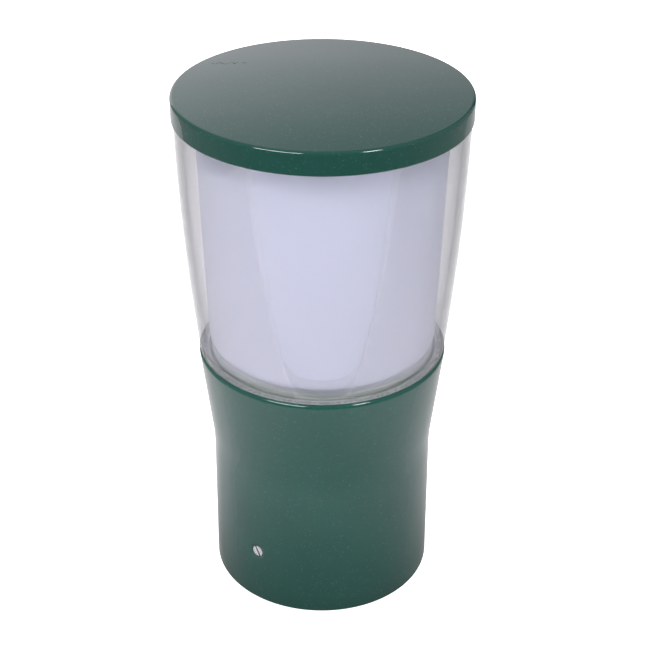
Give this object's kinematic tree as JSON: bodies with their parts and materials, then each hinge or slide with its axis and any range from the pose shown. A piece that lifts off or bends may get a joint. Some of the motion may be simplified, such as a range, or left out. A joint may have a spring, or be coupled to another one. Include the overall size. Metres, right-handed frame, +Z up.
{
  "type": "post-top light head",
  "caption": "Post-top light head: cast green base with a post socket, clear outer and opal inner diffuser, and a crowned green lid on tie rods.",
  "frame": {"origin": "centre of the bottom edge of the base, on the post's axis", "axes": "+Z up along the post's axis, -Y towards the side with the front grub screw"},
  "size_m": [0.1886, 0.1886, 0.356],
  "materials": {
    "green_paint": "glossy enamel, slightly speckled",
    "clear_plastic": "clear, glossy",
    "opal_plastic": "opal, satin",
    "seal_rubber": "matt",
    "zinc_steel": "zinc plated",
    "tray_steel": "galvanised",
    "brass": "plain",
    "porcelain": "glazed",
    "terminal_plastic": "moulded",
    "gland_plastic": "moulded",
    "gland_rubber": "matt",
    "wire_brown": "smooth",
    "wire_blue": "smooth",
    "wire_earth": "smooth, striped",
    "lamp_metal": "bright",
    "lamp_white": "moulded",
    "lamp_opal": "opal"
  },
  "bodies": {
    "base": {"base_housing": "green_paint", "rim_seal": "seal_rubber", "opal_seat_ring": "seal_rubber", "outer_diffuser": "clear_plastic", "inner_diffuser": "opal_plastic", "tie_washers": "zinc_steel", "tie_nuts": "zinc_steel", "gear_tray": "tray_steel", "tray_screws": "zinc_steel", "lampholder_bracket": "tray_steel", "bracket_screws": "zinc_steel", "lampholder_body": "porcelain", "lampholder_screws": "zinc_steel", "screw_shell": "brass", "centre_contact": "brass", "terminal_block": "terminal_plastic", "terminal_sleeves": "brass", "terminal_screws": "zinc_steel", "block_screws": "zinc_steel", "earth_screw": "brass", "earth_tag": "brass", "live_wire": "wire_brown", "neutral_wire": "wire_blue", "earth_wire": "wire_earth", "gland_body": "gland_plastic", "gland_seal": "gland_rubber", "gland_locknut": "gland_plastic"},
    "lid": {"lid_cap": "green_paint", "lid_gasket": "seal_rubber", "opal_pad": "seal_rubber", "tie_rods": "zinc_steel", "rod_locknuts": "zinc_steel"},
    "lamp": {"lamp_cap": "lamp_metal", "lamp_contact": "lamp_metal", "lamp_housing": "lamp_white", "lamp_globe": "lamp_opal"},
    "gland_nut": {"gland_nut": "gland_plastic"},
    "grub_screw_front": {"grub_screw_front": "zinc_steel"},
    "grub_screw_right": {"grub_screw_right": "zinc_steel"},
    "grub_screw_back": {"grub_screw_back": "zinc_steel"}
  },
  "joints": [
    {"name": "lid_lift", "type": "slide", "parent": "base", "child": "lid", "axis": [0, 0, 1], "range_m": [0, 0.27]},
    {"name": "lamp_turn", "type": "hinge", "parent": "base", "child": "lamp", "pos_m": [0, 0, 0.18], "axis": [0, 0, 1], "range_deg": [0, 1080]},
    {"name": "gland_nut_turn", "type": "hinge", "parent": "base", "child": "gland_nut", "pos_m": [0, 0, 0.085], "axis": [0, 0, 1], "range_deg": [0, 720]},
    {"name": "grub_front_drive", "type": "slide", "parent": "base", "child": "grub_screw_front", "axis": [0.585, 0.8111, 0], "range_m": [-0.004, 0.004]},
    {"name": "grub_right_drive", "type": "slide", "parent": "base", "child": "grub_screw_right", "axis": [-0.9949, 0.1011, 0], "range_m": [-0.004, 0.004]},
    {"name": "grub_back_drive", "type": "slide", "parent": "base", "child": "grub_screw_back", "axis": [0.4099, -0.9121, 0], "range_m": [-0.004, 0.004]}
  ]
}
